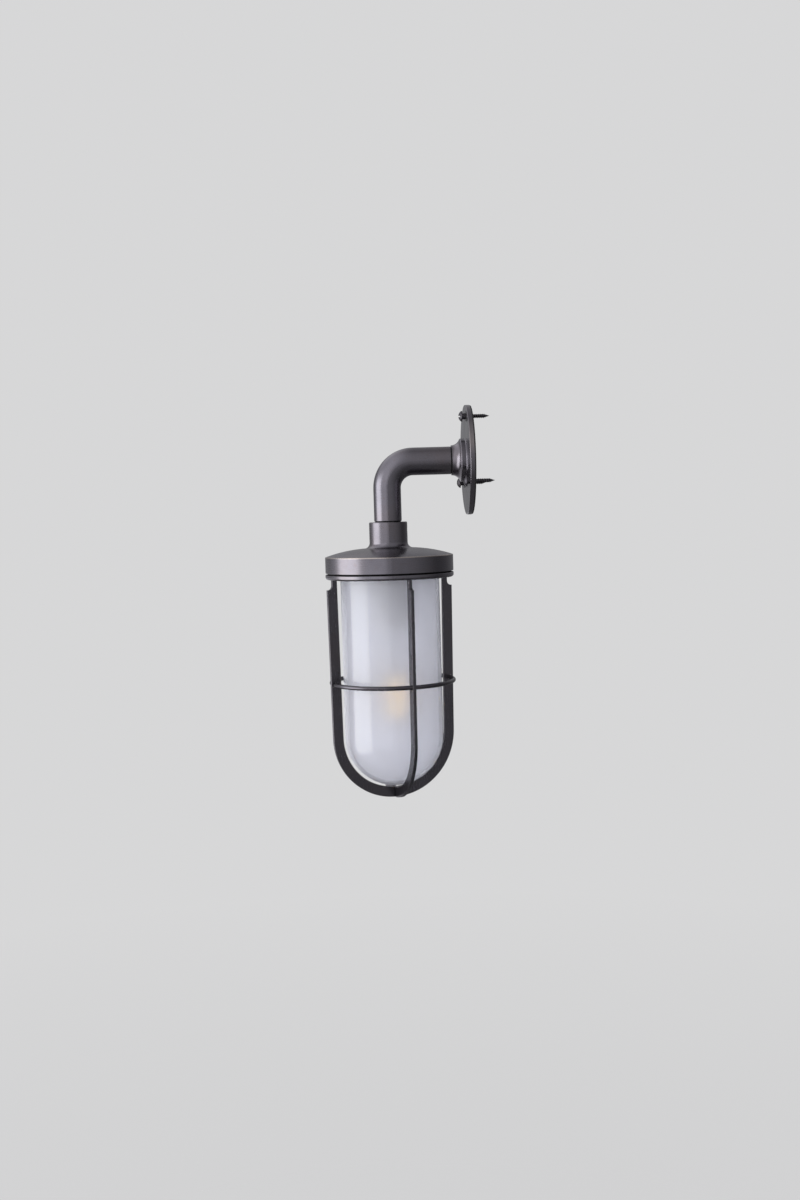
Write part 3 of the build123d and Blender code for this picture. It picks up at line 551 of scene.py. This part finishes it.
def etched_glass():
    """Clear glass, smooth outside and etched milky inside, where it lies nearer to the axis."""
    made, tree, surface = new_material("well_glass", IOR=1.5)
    where = place(tree)
    across, along, height = parts(tree, offset(tree, where, glass_centre))
    below = calculate(tree, "MINIMUM", height, 0.0)
    inward = node(tree, "CombineXYZ", {0: across, 1: along, 2: below}).outputs[0]
    middle = glass_radius - GLASS_WALL / 2
    half = ETCH_DEPTH / 2
    etched = remap(tree, length(tree, inward), middle - half, middle + half, 1.0, 0.0)

    finer, coarser = ETCH_ROUGHNESS - ETCH_VARIATION, ETCH_ROUGHNESS + ETCH_VARIATION
    rough = remap(tree, noise(tree, where, ETCH_SCALE), *NOISE_SPAN, finer, coarser)
    smooth = remap(tree, noise(tree, where, SMEAR_SCALE), *NOISE_SPAN, *SMEAR_ROUGHNESS)
    matt = mix(tree, etched, smooth, rough)
    clear = remap(tree, etched, 0.0, 1.0, 1.0, 1.0 - ETCH_SCATTER)
    tint = blend(tree, noise(tree, where, TINT_SCALE), GLASS_TINT, GLASS_TINT_PALE)
    waves = noise(tree, stretched(tree, where, WAVE_GRAIN), detail=1.0)
    normal = bump(tree, waves, WAVE_BUMP, WAVE_DEPTH)
    join(tree, surface, Roughness=matt, Base_Color=tint, Transmission_Weight=clear, Normal=normal)
    return made


def rubber():
    """Black rubber with a trace of dust."""
    made, tree, surface = new_material("black_rubber", IOR=1.45)
    dust = noise(tree, place(tree), DUST_SCALE, detail=5.0)
    color = blend(tree, remap(tree, dust, *DUST_RANGE), RUBBER_BLACK, RUBBER_DUST)
    matt = remap(tree, dust, *NOISE_SPAN, *RUBBER_ROUGHNESS)
    normal = bump(tree, noise(tree, place(tree), RUBBER_FINE_SCALE), RUBBER_BUMP, RUBBER_DEPTH)
    join(tree, surface, Base_Color=color, Roughness=matt, Normal=normal)
    return made


def plain_metal(name, colors, roughness):
    """Bare or plated metal with a soft mottle and fine scratches."""
    made, tree, surface = new_material(name, Metallic=1.0)
    mottle = noise(tree, place(tree), METAL_SCALE, detail=4.0)
    scratches = noise(tree, stretched(tree, place(tree), SCRATCH_GRAIN))
    color = blend(tree, remap(tree, mottle, *MOTTLE_RANGE), *colors)
    smoother, rougher = roughness - SCRATCH_SMOOTHER, roughness + SCRATCH_ROUGHER
    matt = remap(tree, scratches, *NOISE_SPAN, smoother, rougher)
    normal = bump(tree, scratches, SCRATCH_BUMP, SCRATCH_DEPTH)
    join(tree, surface, Base_Color=color, Roughness=matt, Normal=normal)
    return made


def glazed(name, colors):
    """Glazed ceramic: an even colour with faint clouds under a smooth coat."""
    made, tree, surface = new_material(name, Coat_Weight=0.6, Coat_Roughness=0.06)
    clouds = noise(tree, place(tree), GLAZE_SCALE, detail=4.0)
    color = blend(tree, remap(tree, clouds, *MOTTLE_RANGE), *colors)
    matt = remap(tree, clouds, *NOISE_SPAN, *GLAZE_ROUGHNESS)
    join(tree, surface, Base_Color=color, Roughness=matt)
    return made


def clear_glass():
    """The lamp's thin glass, nearly clear, with a faint film on it."""
    made, tree, surface = new_material("lamp_clear_glass", Alpha=0.12, IOR=1.45)
    film = noise(tree, place(tree), FILM_SCALE)
    matt = remap(tree, film, *NOISE_SPAN, *FILM_ROUGHNESS)
    join(tree, surface, Base_Color=blend(tree, film, *LAMP_GLASS), Roughness=matt)
    return made


def glowing_filament():
    """Yellow phosphor over a row of chips, brighter where each chip sits and towards the wall."""
    made, tree, surface = new_material(
        "lamp_filament", Emission_Strength=GLOW_STRENGTH, Roughness=0.5
    )
    along, height = parts(tree, place(tree))[1:]
    chips = calculate(tree, "SINE", product(tree, height, 2 * math.pi / CHIP_PITCH))
    level = remap(tree, chips, -1.0, 1.0, 0.0, 1.0)
    dimmer = [part * GLOW_BETWEEN_CHIPS for part in GLOW_COLOR]
    far, near = lamp_axis.y - GLOW_REACH, lamp_axis.y + GLOW_REACH
    share = remap(tree, along, far, near, GLOW_FAR_SHARE, 1.0)
    glow = scaled(tree, blend(tree, level, dimmer, GLOW_COLOR), share)
    join(tree, surface, Base_Color=blend(tree, level, *PHOSPHOR), Emission_Color=glow)
    return made


# Which pieces have which material


def dress(material, *names):
    """Gives nodes of the frame a material."""
    for name in names:
        for material_slot in frame["nodes"][name].material_slots:
            material_slot.material = material


# Painted shade in the rim gap, and a painted highlight with wear along the rim edge
dress(
    bronze("bronze_cap", lamp_turned_grain, roughness=0.25, joint=under_rim_shade, wear_and_highlight=rim_wear_and_highlight),
    "cap",
    "guard_ring",
)
# Painted shade on the plate's flat face
dress(
    bronze("bronze_plate", wall_turned_grain, roughness=0.17, wear_and_highlight=rubbed_plate, face_shade=plate_face_shade),
    "wall_plate",
)
dress(bronze("bronze_socket", wall_turned_grain, roughness=0.24), "arm_socket")
# Painted shade in the arm's grooves
dress(bronze("bronze_arm", cast_grain, roughness=0.24, joint=arm_groove_shade), "bracket_arm")
# Painted shade where the hoops cross
dress(
    bronze(
        "bronze_bar",
        upright_grain,
        shade=0.6,
        roughness=0.24,
        joint=hoop_crossing_shade,
        wear_and_highlight=rubbed_edges,
    ),
    "guard_hoop_side",
    "guard_hoop_front",
    "guard_band",
)
dress(
    bronze("bronze_screw", cast_grain, shade=0.45, roughness=0.4, wear_and_highlight=rubbed_edges),
    "wall_screws",
    "collar_screw",
)
dress(etched_glass(), "well_glass")
dress(rubber(), "wall_gasket", "cable_grommet", "glass_gasket", "guard_seat")
dress(
    plain_metal("zinc_plate", ZINC, roughness=0.36),
    "socket_backnut",
    "arm_locknut",
    "holder_stirrup",
    "holder_nipple",
    "holder_nut",
    "terminal_screws",
)
dress(
    plain_metal("bright_brass", BRASS, roughness=0.28),
    "earth_screw",
    "lampholder_shell",
    "lampholder_contact",
    "lampholder_terminals",
)
dress(plain_metal("lamp_nickel", NICKEL, roughness=0.25), "lamp_cap")
dress(plain_metal("lamp_solder", SOLDER, roughness=0.45), "lamp_contact")
dress(plain_metal("lamp_wire", WIRE, roughness=0.35), "lamp_supports")
# Painted shade: the lamp holder's glaze is grey
dress(glazed("porcelain", PORCELAIN_SHADED), "lampholder_body")
dress(glazed("black_vitrite", VITRITE), "lamp_insulator")
dress(clear_glass(), "lamp_envelope", "lamp_stem")
dress(glowing_filament(), "lamp_filaments")


# Threads of the wall screws


def thread_ridge(core, tip):
    """The ridge of one screw that lies on the Y axis: three-cornered sections along a helix."""
    start, end = THREAD_BASE, tip - THREAD_BASE
    steps = int((end - start) / THREAD_PITCH * THREAD_STEPS)
    sections = []
    for step in range(steps + 1):
        along = start + step / THREAD_STEPS * THREAD_PITCH
        taper = min(1.0, (tip - along) / POINT_LENGTH)
        ends = min(1.0, step / THREAD_STEPS, (steps - step) / THREAD_STEPS)
        turn = 2 * math.pi * step / THREAD_STEPS
        out = Vector((math.cos(turn), 0, math.sin(turn)))
        foot = max(core * taper - THREAD_SINK, 0)
        rise = (THREAD_CREST - core + THREAD_SINK) * ends
        crest = foot + rise * (POINT_RIDGE + (1 - POINT_RIDGE) * taper)
        corners = ((foot, -THREAD_BASE / 2), (crest, 0), (foot, THREAD_BASE / 2))
        sections.append([out * radius + Vector((0, along + shift, 0)) for radius, shift in corners])
    return sections


def skin(sections, first):
    """Faces round a row of sections and over its ends; first is the number of its first corner."""
    corners = len(sections[0])
    last = first + corners * (len(sections) - 1)
    faces = []
    for here in range(first, last, corners):
        there = here + corners
        for side in range(corners):
            after = (side + 1) % corners
            faces.append((here + side, there + side, there + after, here + after))
    near_end = range(first, first + corners)
    far_end = range(last, last + corners)
    return faces + [tuple(near_end), tuple(reversed(far_end))]


def screw_threads():
    """One helical ridge along each wall screw behind the wall plane, tapering with its point."""
    pattern = next(mount for mount in frame["record"]["mounts"] if mount["name"] == "wall_screws")
    circle = pattern["dims"]["pcd_mm"] * MM / 2
    count = pattern["dims"]["count"]
    ridge = thread_ridge(pattern["dims"]["stud_r_mm"] * MM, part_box("wall_screws")[1].y)
    points, faces = [], []
    for screw in range(count):
        around = math.radians(FIRST_SCREW_DEGREES + 360 * screw / count)
        centre = Vector((circle * math.cos(around), 0, circle * math.sin(around)))
        faces += skin(ridge, len(points))
        points += [centre + corner for section in ridge for corner in section]
    mesh = bpy.data.meshes.new("wall_screw_threads")
    mesh.from_pydata(points, [], faces)
    piece = bpy.data.objects.new("wall_screw_threads", mesh)
    bpy.context.scene.collection.objects.link(piece)
    mesh.materials.append(frame["nodes"]["wall_screws"].material_slots[0].material)
    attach(piece, "fitting")


screw_threads()


# Studio


def pale_floor():
    """A round floor that fades into the background at its edge."""
    bpy.ops.mesh.primitive_circle_add(
        vertices=FLOOR_SIDES,
        radius=FLOOR_RADIUS,
        fill_type="NGON",
        location=(0, lamp_axis.y, FLOOR_HEIGHT),
    )
    floor = bpy.context.object
    floor.name = "floor"
    made, tree, surface = new_material("floor", Roughness=0.9)
    rays = node(tree, "LightPath").outputs
    mottled = blend(tree, noise(tree, place(tree), FLOOR_SCALE), *FLOOR_COLORS)
    join(tree, surface, Base_Color=blend(tree, rays["Is Glossy Ray"], mottled, FLOOR_REFLECTED))

    seen = calculate(tree, "MAXIMUM", rays["Is Camera Ray"], rays["Is Transmission Ray"])
    color = blend(tree, rays["Is Transmission Ray"], BACKGROUND, THROUGH_GLASS)
    pale = node(tree, "Emission", {"Color": color}).outputs[0]
    share = product(tree, seen, FLOOR_SHARE)
    lit = node(tree, "MixShader", {0: share, 1: surface.outputs[0], 2: pale}).outputs[0]
    fade_from, fade_to = (part * FLOOR_RADIUS for part in FLOOR_FADE)
    fade = remap(tree, length(tree, place(tree)), fade_from, fade_to, 0.0, 1.0)
    clear = node(tree, "BsdfTransparent").outputs[0]
    mixed = node(tree, "MixShader", {0: fade, 1: lit, 2: clear}).outputs[0]
    tree.links.new(mixed, tree.nodes["Material Output"].inputs["Surface"])
    floor.data.materials.append(made)


def key_light():
    """A soft light that faces the object and fades towards its own edges."""
    data = bpy.data.lights.new("key", "AREA")
    data.shape = "RECTANGLE"
    data.size, data.size_y = KEY_SIZE
    data.energy = KEY_POWER
    data.color = KEY_COLOR
    data.use_nodes = True
    tree = data.node_tree
    sides = parts(tree, node(tree, "NewGeometry").outputs["Parametric"])

    # PINGPONG folds a place along a side, 0 to 1, into the distance from its nearer end
    edges = [
        remap(tree, calculate(tree, "PINGPONG", side, 0.5), 0.0, share, 0.0, 1.0)
        for side, share in zip(sides, KEY_FADE)
    ]
    tree.links.new(product(tree, *edges), tree.nodes["Emission"].inputs["Strength"])
    light = bpy.data.objects.new("key", data)
    bpy.context.scene.collection.objects.link(light)
    aim = Vector((0, lamp_axis.y, (cad_box[0][2] + cad_box[1][2]) / 2))
    toward = KEY_TOWARD.normalized()
    light.location = aim + toward * KEY_DISTANCE
    light.rotation_euler = (-toward).to_track_quat("-Z", "Y").to_euler()


def studio_world():
    """Pale to the eye; in reflections bright on the lit side, darker by the wall and below."""
    world = bpy.data.worlds.new("studio")
    bpy.context.scene.world = world
    world.use_nodes = True
    tree = world.node_tree
    direction = node(tree, "TexCoord").outputs["Generated"]
    wallward = dot(tree, direction, WALL_SIDE)
    split = parts(tree, direction)
    frontward, upward = split[0], split[2]

    # The lit side has a softer edge higher up, and is shaded in a band behind the object
    spread = product(tree, calculate(tree, "MAXIMUM", upward, 0.0), LIT_SPREAD)
    lit_from = calculate(tree, "SUBTRACT", LIT_EDGE[0], spread)
    lit = remap(tree, wallward, lit_from, LIT_EDGE[1], LIT_LEVEL, 0.0)
    top, foot = remap(tree, upward, *SHADE_TOP_RANGE), remap(tree, upward, *SHADE_FOOT_RANGE)
    shade = product(tree, remap(tree, frontward, *SHADE_BEHIND_RANGE), product(tree, top, foot))
    lit = product(tree, lit, calculate(tree, "SUBTRACT", 1.0, shade))

    # The rest of the room
    front = remap(tree, frontward, 0.0, 1.0, DARK_LEVEL, DARK_LEVEL + FRONT_LEVEL)
    back = remap(tree, frontward, -1.0, 0.0, BACK_LEVEL, 0.0)
    back = product(tree, back, remap(tree, upward, *BACK_RISE_RANGE))
    above = remap(tree, upward, 0.0, 1.0, 0.0, UPPER_LEVEL)

    room = calculate(tree, "ADD", front, back)
    level = calculate(tree, "ADD", room, calculate(tree, "ADD", lit, above))
    level = product(tree, level, remap(tree, upward, *LOWER_RANGE))
    reflected = scaled(tree, SURROUND_TINT, level)
    pale = remap(tree, wallward, -THROUGH_REACH, THROUGH_REACH, THROUGH_BRIGHT, THROUGH_DARK)
    through = scaled(tree, THROUGH_GLASS, pale)
    rays = node(tree, "LightPath").outputs
    color = blend(tree, rays["Is Transmission Ray"], reflected, through)
    color = blend(tree, rays["Is Camera Ray"], color, BACKGROUND)
    tree.links.new(color, tree.nodes["Background"].inputs["Color"])


def photo_camera():
    """The camera at the photograph's viewpoint."""
    data = bpy.data.cameras.new("camera")
    data.sensor_fit = "VERTICAL"
    data.sensor_height = SENSOR_HEIGHT
    data.lens = FOCAL_PIXELS * SENSOR_HEIGHT / IMAGE_HEIGHT
    camera = bpy.data.objects.new("camera", data)
    bpy.context.scene.collection.objects.link(camera)
    ahead = Vector((
        -math.cos(CAMERA_YAW) * math.cos(CAMERA_PITCH),
        math.sin(CAMERA_YAW) * math.cos(CAMERA_PITCH),
        -math.sin(CAMERA_PITCH),
    ))
    level_right = Vector((math.sin(CAMERA_YAW), math.cos(CAMERA_YAW), 0))
    level_up = level_right.cross(ahead)
    right = math.cos(CAMERA_ROLL) * level_right + math.sin(CAMERA_ROLL) * level_up
    up = right.cross(ahead)
    turn = Matrix((right, up, -ahead)).transposed().to_4x4()
    camera.matrix_world = Matrix.Translation(CAMERA_PLACE) @ turn
    bpy.context.scene.camera = camera


pale_floor()
studio_world()
key_light()
photo_camera()
bpy.context.scene.view_settings.view_transform = "Standard"
